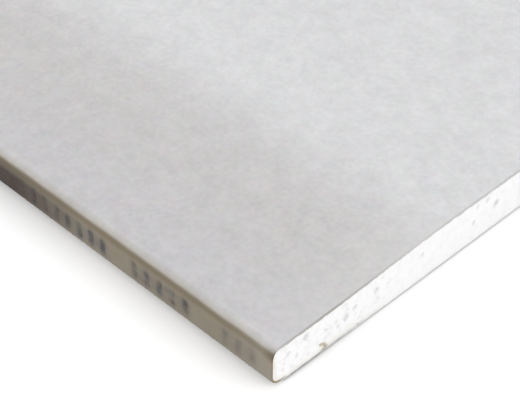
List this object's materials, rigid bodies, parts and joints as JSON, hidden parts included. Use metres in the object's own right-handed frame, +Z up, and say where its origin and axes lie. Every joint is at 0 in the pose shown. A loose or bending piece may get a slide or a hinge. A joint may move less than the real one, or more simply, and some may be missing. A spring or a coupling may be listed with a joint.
{
  "type": "drywall sheet",
  "caption": "Paper-faced gypsum sheet with tapered, paper-bound long edges and square-cut ends, for lining stud walls and ceilings.",
  "frame": {"origin": "middle of the back, on the plane of the back paper's underside, which rests on the floor", "axes": "+X along the sheet's length, between the cut ends; +Y across its width, between the bound long edges; +Z up, out of the face"},
  "size_m": [2.4, 1.2, 0.0125],
  "materials": {
    "gypsum": "matt cast plaster, sawn, with fine air pores",
    "face_liner": "matt light grey liner, taupe where it turns over the long edges",
    "back_liner": "matt grey-brown recycled liner"
  },
  "bodies": {
    "root": {"gypsum_core": "gypsum", "face_paper": "face_liner", "back_paper": "back_liner"}
  },
  "joints": []
}
